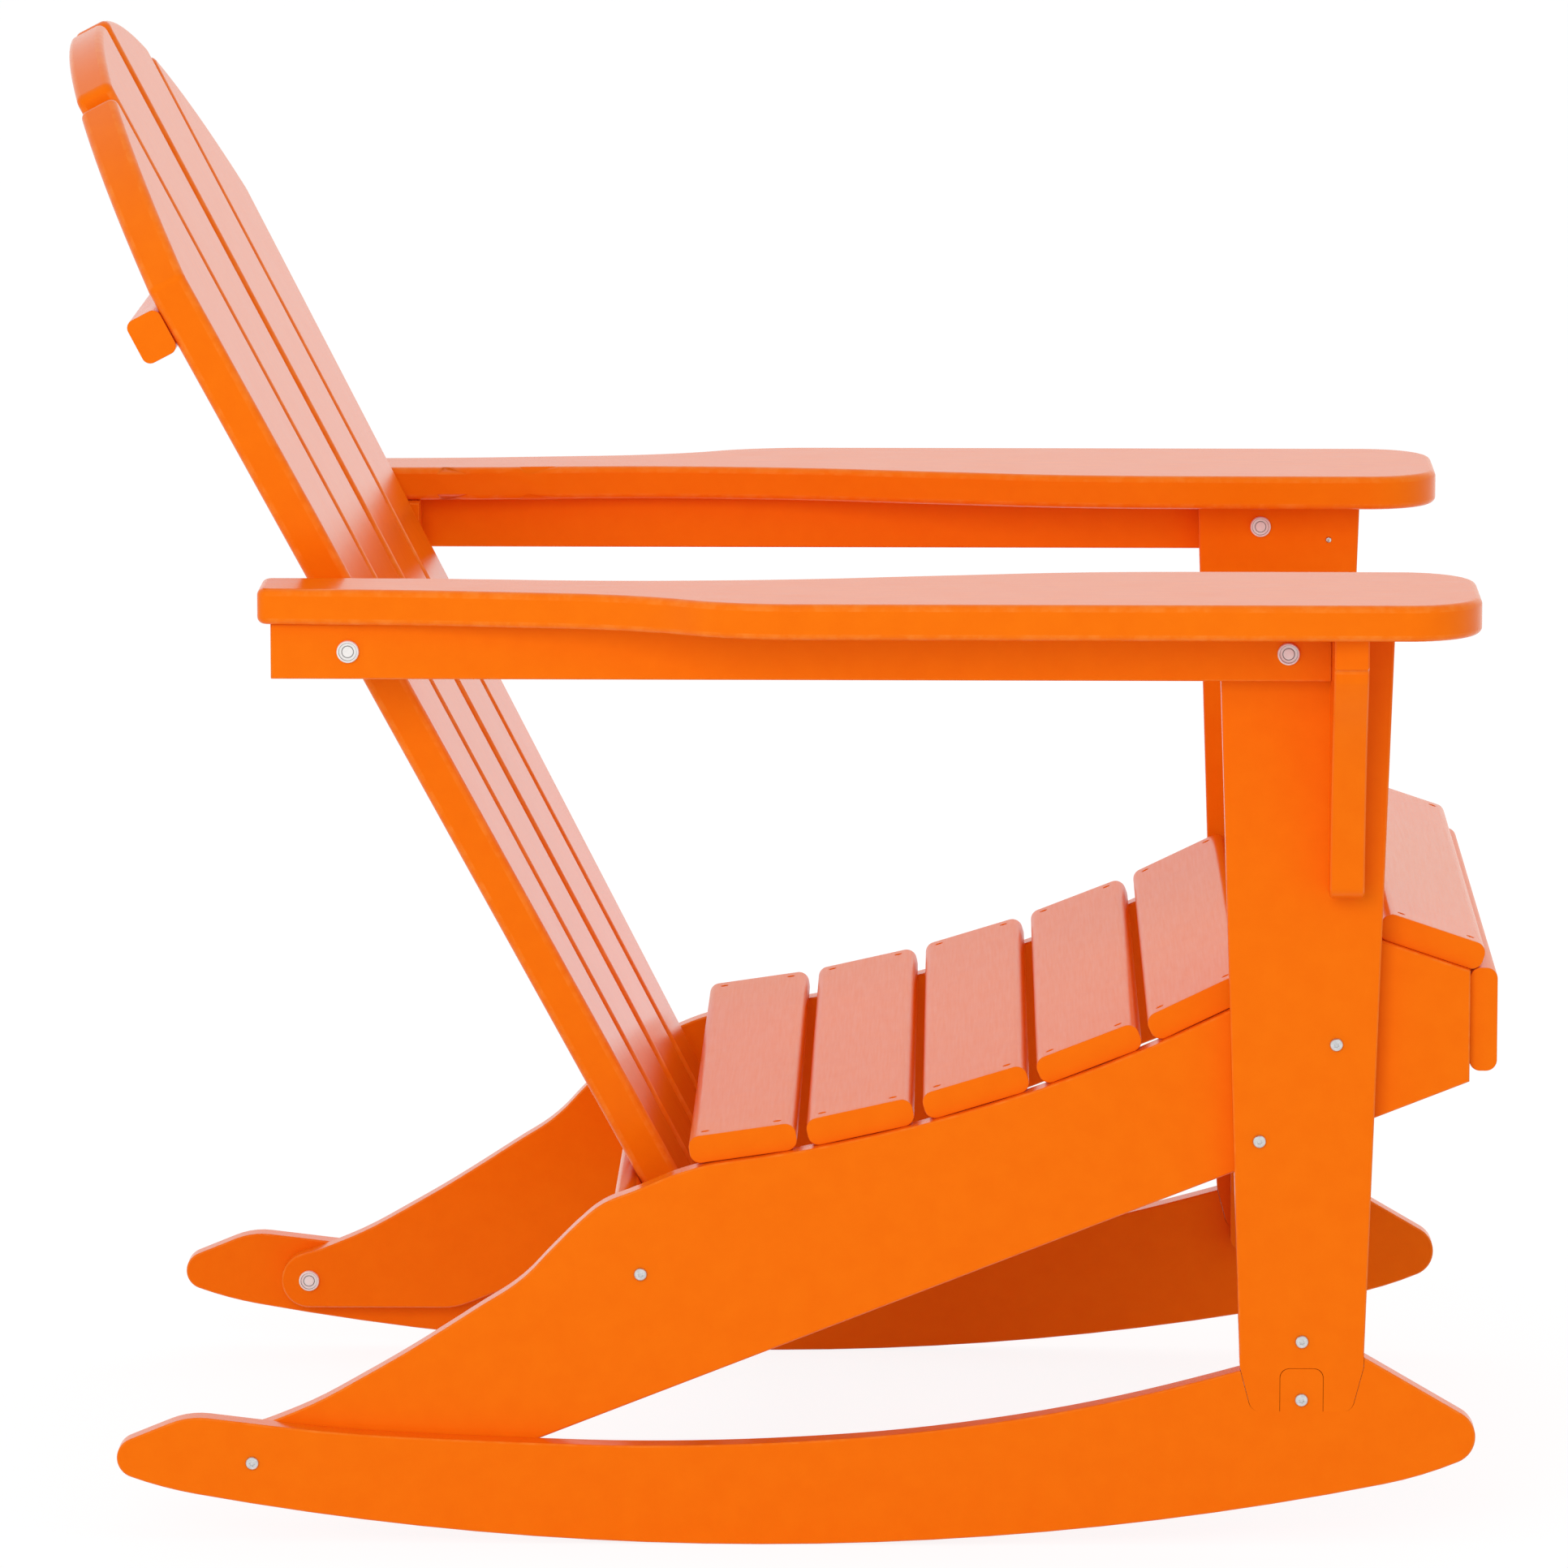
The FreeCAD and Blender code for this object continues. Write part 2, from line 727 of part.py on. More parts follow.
def lower_back_rail():
    """A deep rail between the seat rails, its front bevelled to the lean of the slats."""
    rear = lower_rail_rear()
    top = lower_rail_top()
    bottom = top - lower_rail_height
    front = rear + lower_rail_board
    bevel_top = on_back(0, rise_at(top, back_board), back_board)
    fall = (front - bevel_top.x) / math.tan(lean)
    corners = [
        (point(rear, bottom), lower_rail_round), (point(rear, top), lower_rail_round), (bevel_top, 0),
        (point(front, top - fall), 0), (point(front, bottom), lower_rail_round)]
    rail = slab(rounded(corners), across * 2 * rail_inner).translate(across * -rail_inner)
    hole = lag_hole(*lower_rail_bolt(), rail_inner, lag_length - frame_board)
    return rail.cut(hole).cut(mirrored(hole))


def block_width():
    return side_outer - half_width(rise_at(arm_height, 0)) - block_clearance


def back_block():
    """Fills the slats' layer between the outer slat and the arm rail, its front upright."""
    front = back_bolt_reach + block_front
    bottom = arm_height - arm_rail_height
    width = block_width()
    corners = [
        point(front, bottom), point(front, arm_height),
        on_back(0, rise_at(arm_height, back_board), back_board), on_back(0, rise_at(bottom, back_board), back_board)]
    block = slab(Part.makePolygon(corners + corners[:1]), across * width).translate(across * (side_outer - width))
    return block.cut(lag_hole(back_bolt_reach, arm_rail_middle, side_outer, width - block_lag_margin))


# Fasteners


def shank(reach, height, face, length):
    """A bolt's shank from the face inwards, cut flush where a cap covers it."""
    return Part.makeCylinder(bolt_diameter / 2, length, point(reach, height, face), across * -1)


def bolt(reach, height, face, length):
    """A bolt with a low head on the face."""
    head = Part.makeCone(head_diameter / 2, head_top_diameter / 2, head_height, point(reach, height, face), across)
    return shank(reach, height, face, length).fuse(head)


def cap(reach, height, face, outward):
    """A round cap that covers a bolt's end, its base on the face."""
    way = across if outward else across * -1
    return Part.makeCylinder(cap_diameter / 2, cap_height, point(reach, height, face), way)


def group(pieces):
    """One node of separate solids, the same on both sides of the chair."""
    return Part.makeCompound(pieces + [mirrored(piece) for piece in pieces])


def fasteners():
    through_rail = side_outer - rail_inner
    through_arm_rail = arm_rail_outer - rail_outer
    through_block = frame_board + seat_board
    into_block = arm_rail_board + block_width() - block_lag_margin
    foot_reach, foot_height = lower_rail_bolt()
    joint_places = ((post_reach, joint_bolt_upper), (post_reach, joint_bolt_lower))
    inner_block = rail_outer - seat_board
    caps = [cap(x, z, rail_inner, False) for x, z in seat_bolts()]
    caps += [cap(x, z, inner_block, False) for x, z in joint_places]
    caps += [
        cap(heel_reach, heel_height, rail_inner, False), cap(arm_bolt_reach, arm_rail_middle, rail_outer, False),
        cap(arm_bolt_reach, arm_rail_middle, arm_rail_outer, True),
        cap(back_bolt_reach, arm_rail_middle, arm_rail_outer, True)]
    return {
        "heel_bolts": group([bolt(heel_reach, heel_height, side_outer, through_rail)]),
        "seat_rail_bolts": group([bolt(x, z, side_outer, through_rail) for x, z in seat_bolts()]),
        "post_joint_bolts": group([bolt(x, z, side_outer, through_block) for x, z in joint_places]),
        "arm_rail_bolts": group([
            shank(arm_bolt_reach, arm_rail_middle, arm_rail_outer, through_arm_rail),
            shank(back_bolt_reach, arm_rail_middle, arm_rail_outer, into_block)]),
        "back_foot_bolts": group([bolt(foot_reach, foot_height, rail_outer, lag_length)]),
        "bolt_caps": group(caps)}


def pieces():
    nodes = {}
    for name, make in (
            ("rocker", rocker), ("front_post", front_post), ("joint_block", joint_block), ("seat_rail", seat_rail),
            ("arm_rail", arm_rail), ("arm_bracket", arm_bracket), ("arm", arm), ("back_block", back_block)):
        nodes.update(both_sides(name, make()))
    nodes.update(seat_slats())
    nodes["front_seat_slat"] = front_seat_slat()
    nodes["front_apron"] = front_apron()
    nodes.update(both_sides("back_middle_slat", back_slat(centre_edge, outer_edge)))
    nodes.update(both_sides("back_outer_slat", back_slat(inner_edge, half_width)))
    nodes["upper_back_rail"] = cross_rail(upper_rail_rise, half_width(upper_rail_rise))
    nodes["middle_back_rail"] = middle_back_rail()
    nodes["lower_back_rail"] = lower_back_rail()
    nodes.update(fasteners())
    return nodes


def main():
    os.makedirs("parts", exist_ok=True)
    nodes = pieces()
    box = FreeCAD.BoundBox()
    for shape in nodes.values():
        box.add(shape.optimalBoundingBox())
    to_origin = FreeCAD.Vector(-box.Center.x, 0, -box.ZMin)
    for name, shape in nodes.items():
        shape.translated(to_origin).exportStep("parts/%s.step" % name)


main()
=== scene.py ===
import json
import math

import bmesh
import bpy
from mathutils import Matrix, Vector

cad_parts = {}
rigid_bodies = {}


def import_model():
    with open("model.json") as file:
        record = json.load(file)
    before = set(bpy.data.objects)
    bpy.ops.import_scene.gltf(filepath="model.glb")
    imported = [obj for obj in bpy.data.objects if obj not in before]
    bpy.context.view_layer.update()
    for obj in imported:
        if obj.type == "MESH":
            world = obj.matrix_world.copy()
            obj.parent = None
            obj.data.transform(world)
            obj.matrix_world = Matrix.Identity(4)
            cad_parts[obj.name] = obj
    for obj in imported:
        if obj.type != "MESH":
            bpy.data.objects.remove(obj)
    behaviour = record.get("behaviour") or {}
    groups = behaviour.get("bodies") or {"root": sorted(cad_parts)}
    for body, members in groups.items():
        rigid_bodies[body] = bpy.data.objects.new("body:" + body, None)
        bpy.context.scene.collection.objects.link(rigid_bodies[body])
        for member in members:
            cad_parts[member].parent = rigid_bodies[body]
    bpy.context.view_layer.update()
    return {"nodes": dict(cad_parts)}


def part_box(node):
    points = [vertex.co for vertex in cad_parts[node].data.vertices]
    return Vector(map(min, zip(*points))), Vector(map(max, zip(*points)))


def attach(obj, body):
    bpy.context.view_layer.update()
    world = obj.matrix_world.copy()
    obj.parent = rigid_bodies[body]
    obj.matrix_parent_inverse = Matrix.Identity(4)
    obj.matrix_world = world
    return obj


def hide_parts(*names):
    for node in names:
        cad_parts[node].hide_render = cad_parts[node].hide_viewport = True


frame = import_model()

bl_info = {
    "name": "Outdoor Rocking Chair",
    "version": (1, 0, 0),
    "blender": (4, 5, 0),
    "location": "3D View > Sidebar > Rocking Chair",
    "description": "Dresses the boards, bolts, caps and screws of a plastic lumber rocking chair",
    "category": "Object",
}

# Lengths are in metres. +X is the way the sitter faces, +Y the sitter's left, +Z up.
ACROSS = Vector((0, 1, 0))

# How the boards lie, for the direction of their grain
LENGTHWISE = ("rocker", "seat_rail", "arm_rail", "arm", "back_block")
STANDING = ("front_post", "joint_block", "arm_bracket")
SEAT = ["seat_slat_%d" % number for number in range(1, 7)] + ["front_seat_slat"]
CROSSWISE = ["front_apron", "upper_back_rail", "middle_back_rail", "lower_back_rail"]
RECLINED = ("back_middle_slat", "back_outer_slat")
DOMED = ("heel_bolts", "seat_rail_bolts", "post_joint_bolts", "back_foot_bolts")
ALL_BOLTS = DOMED + ("arm_rail_bolts",)

# Mesh work: what counts as one point, as flat, as level and as one of a board's softened edges
MERGE = 1e-6
CUT = 1e-7
LEVEL = 1e-5
SAME_WAY = 0.9999
UPWARD = 0.3
FLAT = math.radians(0.05)
SHARP = math.radians(35)
NARROW = 0.0009

# Edges that are rounded, by the degrees that they turn, and how near to a bolt's line they are left alone
CHAMFER_TURNS = (35, 55)
CORNER_TURNS = (70, 110)
HOLE_CLEAR = 0.0045

# Slat holes: the cell round each and the first inset in hole radii, then the lip and the wall's taper
HOLE_CELL_SHARE = 1.6
HOLE_START_SHARE = 0.9
HOLE_CUTS = 5
HOLE_LIP = 0.0004
HOLE_TAPER = 0.0001

# Profiles of the turned heads, as shares of their radius and height
DOME_RING_SHARE = 0.42
DOME_RIM_SHARE = 0.18
DOME_POINTS = 7
DOME_RECESS_SHARE = 0.45
SHANK_CHAMFER = 0.0005
SLAT_HEAD_RING_SHARE = 0.55
SLAT_HEAD_SHARE = 0.85
SLAT_HEAD_DROPS = (0.0001, 0.0003, 0.0006)
SLAT_RECESS = 0.0004
PAN_HEIGHT_SHARE = 0.5
PAN_SHARES = ((0.5, 1), (0.75, 0.92), (0.93, 0.6), (1, 0.2))
PAN_SUNK = 0.0002
PAN_RECESS_SHARE = 0.8
RECESS_TAPER_SHARE = 0.08
CAP_SHARES = (
    (0, 0.66), (0.44, 0.66), (0.485, 0.6), (0.5, 0.34), (0.55, 0.34), (0.565, 0.55), (0.6, 0.6),
    (0.77, 0.6), (0.8, 0.64), (0.82, 0.92), (0.86, 1), (0.91, 0.985), (0.96, 0.9), (0.99, 0.76),
    (1, 0.6), (1, 0), (0, 0))
GROOVE_SHARES = ((0.485, 0.565), (0.77, 0.82))
BOLT_STEPS = 36
CAP_STEPS = 48
SCREW_STEPS = 24

# Finish: how strongly grain and wear tell in the lumber, and how dark the clouds of steel and caps are
GRAIN_SHARE = 0.12
WEAR_SHARE = 0.35
STEEL_DULL_SHARE = 0.8
CAP_SHADE_SHARE = 0.93

# Studio
FLOOR_DROP = 0.0002
FLOOR_BOUNCE = 0.9
FLOOR_GLOW = 0.88
FLOOR_SHADOW = 0.17
LAMP_PLACE = (-1.2, -5, 2.2)
FILL_PLACE = (3, 4.2, 2.2)
LAMP_AIM = Vector((0, 0, 0.45))
CAMERA_PLACE = (0.1191, -6.5988, 1.4752)
CAMERA_TILT = math.radians(81.088)
CAMERA_TURN = math.radians(0.998)
CAMERA_REACH = 200


def pair(name):
    return ["left_" + name, "right_" + name]


# Sizes and colours that a user would change


class ChairBoards(bpy.types.PropertyGroup):
    chamfer_round: bpy.props.FloatProperty(
        name="Chamfer Rounding", description="Softening of the chamfers' corners",
        default=0.00035, min=0, unit="LENGTH", precision=5)
    end_round: bpy.props.FloatProperty(
        name="End Rounding", description="Softening of the slats' sawn ends",
        default=0.0006, min=0, unit="LENGTH", precision=5)


class ChairScrews(bpy.types.PropertyGroup):
    hole_diameter: bpy.props.FloatProperty(
        name="Hole Diameter", description="Countersunk hole in a seat slat",
        default=0.0058, unit="LENGTH", precision=4)
    hole_depth: bpy.props.FloatProperty(
        name="Hole Depth", description="How deep the screw sits in the slat",
        default=0.002, unit="LENGTH", precision=4)
    hole_set: bpy.props.FloatProperty(
        name="Hole Setback", description="From the slat's end to the holes",
        default=0.013, unit="LENGTH", precision=4)
    hole_spread: bpy.props.FloatProperty(
        name="Hole Spread", description="From the slat's middle line to each hole",
        default=0.023, unit="LENGTH", precision=4)
    head_diameter: bpy.props.FloatProperty(
        name="Head Diameter", description="Head of a slat screw",
        default=0.0046, unit="LENGTH", precision=4)
    bracket_head: bpy.props.FloatProperty(
        name="Bracket Head Diameter", description="Head of the screw that holds an arm bracket",
        default=0.0042, unit="LENGTH", precision=4)
    bracket_set: bpy.props.FloatProperty(
        name="Bracket Screw Setback", description="From the bracket's front to its screw",
        default=0.002, unit="LENGTH", precision=4)
    bracket_drop: bpy.props.FloatProperty(
        name="Bracket Screw Drop", description="From under the arm to the bracket's screw",
        default=0.0265, unit="LENGTH", precision=4)


class ChairBolts(bpy.types.PropertyGroup):
    dome_diameter: bpy.props.FloatProperty(
        name="Dome Diameter", description="Domed head of a side bolt",
        default=0.0086, unit="LENGTH", precision=4)
    dome_height: bpy.props.FloatProperty(
        name="Dome Height", description="Height of the domed head",
        default=0.0026, unit="LENGTH", precision=4)
    shank_diameter: bpy.props.FloatProperty(
        name="Shank Diameter", description="Shank of a side bolt",
        default=0.006, unit="LENGTH", precision=4)


class ChairFinish(bpy.types.PropertyGroup):
    lumber: bpy.props.FloatVectorProperty(
        name="Lumber", description="Colour of the plastic lumber",
        subtype="COLOR", size=3, min=0, max=1, default=(0.91, 0.172, 0.003))
    lumber_deep: bpy.props.FloatVectorProperty(
        name="Deep Lumber", description="Colour of the lumber's darker clouds",
        subtype="COLOR", size=3, min=0, max=1, default=(0.89, 0.16, 0.0025))
    lumber_sheen: bpy.props.FloatVectorProperty(
        name="Lumber Sheen", description="Tint of the lumber's reflections where it faces the eye",
        subtype="COLOR", size=3, min=0, max=1, default=(1.0, 0.3, 0.06))
    lumber_worn: bpy.props.FloatVectorProperty(
        name="Worn Lumber", description="Colour of the lumber's rubbed edges",
        subtype="COLOR", size=3, min=0, max=1, default=(0.96, 0.3, 0.05))
    # Painted shade: a deeper red that the lumber gives only to light bouncing onto the boards beside it,
    # which paints the gaps between boards deep red
    painted_gap_shade: bpy.props.FloatVectorProperty(
        name="Lumber Glow", description="Colour that the lumber throws on the boards beside it",
        subtype="COLOR", size=3, min=0, max=1, default=(0.93, 0.06, 0.001))
    steel: bpy.props.FloatVectorProperty(
        name="Steel", description="Colour of bolts and screws",
        subtype="COLOR", size=3, min=0, max=1, default=(0.72, 0.72, 0.72))
    cap: bpy.props.FloatVectorProperty(
        name="Cap", description="Colour of the bolt caps",
        subtype="COLOR", size=3, min=0, max=1, default=(0.86, 0.84, 0.815))
    # Painted shade: the caps' sunk rings are darkened to a grey, as shade falls in a groove
    cap_groove_shade: bpy.props.FloatVectorProperty(
        name="Cap Groove", description="Colour of the dust in the caps' grooves",
        subtype="COLOR", size=3, min=0, max=1, default=(0.4, 0.39, 0.38))


class ChairStudio(bpy.types.PropertyGroup):
    daylight: bpy.props.FloatProperty(
        name="Daylight", description="Light from all round", default=0.73, min=0)
    lamp_power: bpy.props.FloatProperty(
        name="Lamp Power", description="Power of the soft lamp on the camera's side",
        default=90, min=0, unit="POWER")
    lamp_size: bpy.props.FloatProperty(
        name="Lamp Size", description="Side of each soft lamp", default=2.5, min=0, unit="LENGTH")
    fill_power: bpy.props.FloatProperty(
        name="Fill Power", description="Power of the soft lamp on the far side",
        default=45, min=0, unit="POWER")
    floor_size: bpy.props.FloatProperty(
        name="Floor Size", description="Side of the floor", default=60, min=0, unit="LENGTH")
    lens: bpy.props.FloatProperty(
        name="Lens", description="Focal length of the camera", default=233.85, min=1, unit="CAMERA")


# Shader nodes


def add_node(tree, kind, **settings):
    node = tree.nodes.new(kind)
    for name, value in settings.items():
        setattr(node, name, value)
    return node


def set_inputs(node, **values):
    for name, value in values.items():
        node.inputs[name.replace("_", " ")].default_value = value
    return node


def new_group(name, inputs, outputs):
    """A shader node group with named inputs and outputs, and its two end nodes."""
    tree = bpy.data.node_groups.new(name, "ShaderNodeTree")
    for label, kind, value in inputs:
        socket = tree.interface.new_socket(label, in_out="INPUT", socket_type=kind)
        if value is not None:
            socket.default_value = value
    for label, kind in outputs:
        tree.interface.new_socket(label, in_out="OUTPUT", socket_type=kind)
    return tree, tree.nodes.new("NodeGroupInput"), tree.nodes.new("NodeGroupOutput")


def stretched(tree, source, scale):
    node = add_node(tree, "ShaderNodeMapping")
    node.inputs["Scale"].default_value = scale
    tree.links.new(source, node.inputs["Vector"])
    return node.outputs["Vector"]


def noise(tree, source, scale, detail):
    node = add_node(tree, "ShaderNodeTexNoise")
    set_inputs(node, Detail=detail, Roughness=0.55)
    if isinstance(scale, float):
        node.inputs["Scale"].default_value = scale
    else:
        tree.links.new(scale, node.inputs["Scale"])
    tree.links.new(source, node.inputs["Vector"])
    return node.outputs["Fac"]


def ranged(tree, source, low, high, to_low, to_high):
    """The source's span from low to high, put on another span."""
    node = add_node(tree, "ShaderNodeMapRange")
    set_inputs(node, From_Min=low, From_Max=high, To_Min=to_low, To_Max=to_high)
    tree.links.new(source, node.inputs["Value"])
    return node.outputs["Result"]


def product(tree, a, b):
    node = add_node(tree, "ShaderNodeMath", operation="MULTIPLY")
    tree.links.new(a, node.inputs[0])
    tree.links.new(b, node.inputs[1])
    return node.outputs["Value"]


def blended(tree, share, a, b):
    """A colour between two, by the share. Each is a socket or a colour."""
    node = add_node(tree, "ShaderNodeMix", data_type="RGBA")
    tree.links.new(share, node.inputs["Factor"])
    for socket, colour in ((node.inputs[6], a), (node.inputs[7], b)):
        if isinstance(colour, bpy.types.NodeSocket):
            tree.links.new(colour, socket)
        else:
            socket.default_value = (*colour, 1)
    return node.outputs[2]


def cloud_group():
    """Clouds: the soft blotches of moulded and extruded plastic, 0 to 1."""
    tree, start, end = new_group(
        "Clouds", [("Vector", "NodeSocketVector", None), ("Scale", "NodeSocketFloat", 60.0)],
        [("Clouds", "NodeSocketFloat")])
    clouds = noise(tree, start.outputs["Vector"], start.outputs["Scale"], 2.0)
    tree.links.new(ranged(tree, clouds, 0.3, 0.7, 0.0, 1.0), end.inputs["Clouds"])
    return tree


def grain_group():
    """Grain: fine lines along X, 0 to 1."""
    tree, start, end = new_group(
        "Grain", [("Vector", "NodeSocketVector", None), ("Scale", "NodeSocketFloat", 700.0)],
        [("Grain", "NodeSocketFloat")])
    lines = noise(tree, stretched(tree, start.outputs["Vector"], (0.035, 1, 1)), start.outputs["Scale"], 3.0)
    tree.links.new(ranged(tree, lines, 0.3, 0.7, 0.0, 1.0), end.inputs["Grain"])
    return tree


def wear_group():
    """Edge wear: a broken band on the faces that a mesh marks as edges, 0 to 1."""
    tree, start, end = new_group(
        "Edge Wear",
        [
            ("Vector", "NodeSocketVector", None), ("Edge", "NodeSocketFloat", 0.0),
            ("Scale", "NodeSocketFloat", 120.0)],
        [("Wear", "NodeSocketFloat")])
    patches = noise(tree, start.outputs["Vector"], start.outputs["Scale"], 3.0)
    worn = ranged(tree, patches, 0.42, 0.68, 0.15, 1.0)
    tree.links.new(product(tree, worn, start.outputs["Edge"]), end.inputs["Wear"])
    return tree


def effect(material, name, make, vector, **values):
    """Places a shared effect in a material, and builds it when it is first wanted."""
    tree = material.node_tree
    node = add_node(tree, "ShaderNodeGroup", node_tree=bpy.data.node_groups.get(name) or make())
    tree.links.new(vector, node.inputs["Vector"])
    for label, value in values.items():
        if isinstance(value, bpy.types.NodeSocket):
            tree.links.new(value, node.inputs[label])
        else:
            node.inputs[label].default_value = value
    return node.outputs[0]


def new_material(name, turn):
    """A material with its shader, and object coordinates turned so that the grain runs along X."""
    material = bpy.data.materials.new(name)
    material.use_nodes = True
    tree = material.node_tree
    shader = tree.nodes["Principled BSDF"]
    place = add_node(tree, "ShaderNodeTexCoord")
    mapping = add_node(tree, "ShaderNodeMapping", vector_type="TEXTURE")
    mapping.inputs["Rotation"].default_value = turn
    tree.links.new(place.outputs["Object"], mapping.inputs["Vector"])
    return material, shader, mapping.outputs["Vector"]


def relief(material, shader, height, strength, distance):
    tree = material.node_tree
    bump = add_node(tree, "ShaderNodeBump")
    set_inputs(bump, Strength=strength, Distance=distance)
    tree.links.new(height, bump.inputs["Height"])
    tree.links.new(bump.outputs["Normal"], shader.inputs["Normal"])


def lumber_material(name, turn, smooth, rough):
    """Through-coloured plastic lumber: satin, softly clouded, finely brushed and rubbed at its edges, with
    painted deep red shade in the light that it bounces onto its neighbours.
    """
    known = bpy.data.materials.get(name)
    if known:
        return known
    finish = bpy.context.scene.chair_finish
    material, shader, vector = new_material(name, turn)
    tree = material.node_tree
    edge = add_node(tree, "ShaderNodeAttribute", attribute_name="edge")
    clouds = effect(material, "Clouds", cloud_group, vector, Scale=62.0)
    grain = effect(material, "Grain", grain_group, vector, Scale=700.0)
    wear = effect(material, "Edge Wear", wear_group, vector, Edge=edge.outputs["Fac"], Scale=120.0)
    colour = blended(tree, clouds, finish.lumber_deep, finish.lumber)
    colour = blended(tree, ranged(tree, grain, 0.0, 1.0, GRAIN_SHARE, 0.0), colour, finish.lumber_deep)
    colour = blended(tree, ranged(tree, wear, 0.0, 1.0, 0.0, WEAR_SHARE), colour, finish.lumber_worn)
    # Painted shade: light bouncing off the lumber takes a deeper red than its own colour, so the gaps
    # between boards show a painted deep red shade
    path = add_node(tree, "ShaderNodeLightPath")
    colour = blended(tree, path.outputs["Is Diffuse Ray"], colour, finish.painted_gap_shade)
    tree.links.new(colour, shader.inputs["Base Color"])
    tree.links.new(ranged(tree, grain, 0.0, 1.0, smooth, rough), shader.inputs["Roughness"])
    set_inputs(shader, IOR=1.5, Specular_Tint=(*finish.lumber_sheen, 1))
    relief(material, shader, grain, 0.015, 0.0002)
    return material


def steel_material():
    """Stainless steel, lightly brushed and dulled in patches."""
    known = bpy.data.materials.get("Brushed steel")
    if known:
        return known
    finish = bpy.context.scene.chair_finish
    material, shader, vector = new_material("Brushed steel", (0, 0, 0))
    tree = material.node_tree
    clouds = effect(material, "Clouds", cloud_group, vector, Scale=420.0)
    grain = effect(material, "Grain", grain_group, vector, Scale=3000.0)
    dull = tuple(part * STEEL_DULL_SHARE for part in finish.steel)
    tree.links.new(blended(tree, clouds, dull, finish.steel), shader.inputs["Base Color"])
    tree.links.new(ranged(tree, grain, 0.0, 1.0, 0.2, 0.38), shader.inputs["Roughness"])
    set_inputs(shader, Metallic=1.0)
    relief(material, shader, grain, 0.1, 0.0001)
    return material


def cap_material():
    """Off-white moulded plastic, satin, with faint clouds and painted grey shade in its grooves."""
    known = bpy.data.materials.get("Cap plastic")
    if known:
        return known
    finish = bpy.context.scene.chair_finish
    material, shader, vector = new_material("Cap plastic", (0, 0, 0))
    tree = material.node_tree
    clouds = effect(material, "Clouds", cloud_group, vector, Scale=300.0)
    grain = effect(material, "Grain", grain_group, vector, Scale=2600.0)
    groove = add_node(tree, "ShaderNodeAttribute", attribute_name="groove")
    shade = tuple(part * CAP_SHADE_SHARE for part in finish.cap)
    colour = blended(tree, clouds, shade, finish.cap)
    # Painted shade: the marked grooves take the darker groove colour
    colour = blended(tree, groove.outputs["Fac"], colour, finish.cap_groove_shade)
    tree.links.new(colour, shader.inputs["Base Color"])
    tree.links.new(ranged(tree, grain, 0.0, 1.0, 0.34, 0.46), shader.inputs["Roughness"])
    relief(material, shader, clouds, 0.05, 0.0002)
    return material


def lengthwise_lumber():
    return lumber_material("Lumber lengthwise", (0, 0, 0), 0.19, 0.26)


def crosswise_lumber():
    return lumber_material("Lumber crosswise", (0, 0, math.pi / 2), 0.28, 0.33)


def smooth_crosswise_lumber():
    return lumber_material("Lumber crosswise smooth", (0, 0, math.pi / 2), 0.19, 0.24)


def standing_lumber():
    return lumber_material("Lumber standing", (0, math.pi / 2, 0), 0.19, 0.26)


def reclined_lumber():
    low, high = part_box("left_back_middle_slat")
    lean = math.atan2(high.x - low.x, high.z - low.z)
    return lumber_material("Lumber reclined", (0, math.pi / 2 - lean, 0), 0.17, 0.23)


# Pieces


def finished(name, bm, material, nodes):
    """Makes a piece of a bmesh, and lets it stand for the nodes."""
    mesh = bpy.data.meshes.new(name)
    for face in bm.faces:
        face.smooth = True
    bm.to_mesh(mesh)
    bm.free()
    mesh.set_sharp_from_angle(angle=SHARP)
    piece = bpy.data.objects.new(name, mesh)
    bpy.context.collection.objects.link(piece)
    mesh.materials.append(material)
    weighted = piece.modifiers.new("Even shading", "WEIGHTED_NORMAL")
    weighted.keep_sharp = True
    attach(piece, "root")
    if nodes:
        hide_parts(*nodes)
    return piece


def merge_flat(bm):
    bmesh.ops.remove_doubles(bm, verts=bm.verts, dist=MERGE)
    bmesh.ops.dissolve_limit(bm, angle_limit=FLAT, verts=bm.verts, edges=bm.edges)


def solid_copy(name):
    """A merged copy of a node's mesh, with its flat faces whole again."""
    bm = bmesh.new()
    bm.from_mesh(frame["nodes"][name].data)
    merge_flat(bm)
    return bm


def is_narrow(face):
    longest = max(edge.calc_length() for edge in face.edges)
    return face.calc_area() < longest * NARROW


def mark_edges(bm):
    """Marks the middle of the narrow faces along a board's edges, for the edge wear."""
    layer = bm.loops.layers.float.new("edge")
    narrow = {face for face in bm.faces if is_narrow(face)}
    for face in narrow:
        for loop in face.loops:
            loop[layer] = float(narrow.issuperset(loop.vert.link_faces))


def loose_parts(name):
    """The lowest and highest corners of each separate solid of a node."""
    bm = solid_copy(name)
    left = set(bm.verts)
    boxes = []
    while left:
        found = [left.pop()]
        for vert in found:
            for edge in vert.link_edges:
                other = edge.other_vert(vert)
                if other in left:
                    left.remove(other)
                    found.append(other)
        low = Vector([min(vert.co[i] for vert in found) for i in range(3)])
        high = Vector([max(vert.co[i] for vert in found) for i in range(3)])
        boxes.append((low, high))
    bm.free()
    return sorted(boxes, key=lambda box: tuple(box[0]))


def bolt_lines():
    """Reach and height of every bolt in the sides."""
    lines = []
    for name in ALL_BOLTS:
        for low, high in loose_parts(name):
            middle = (low + high) / 2
            lines.append((middle.x, middle.z))
    return lines


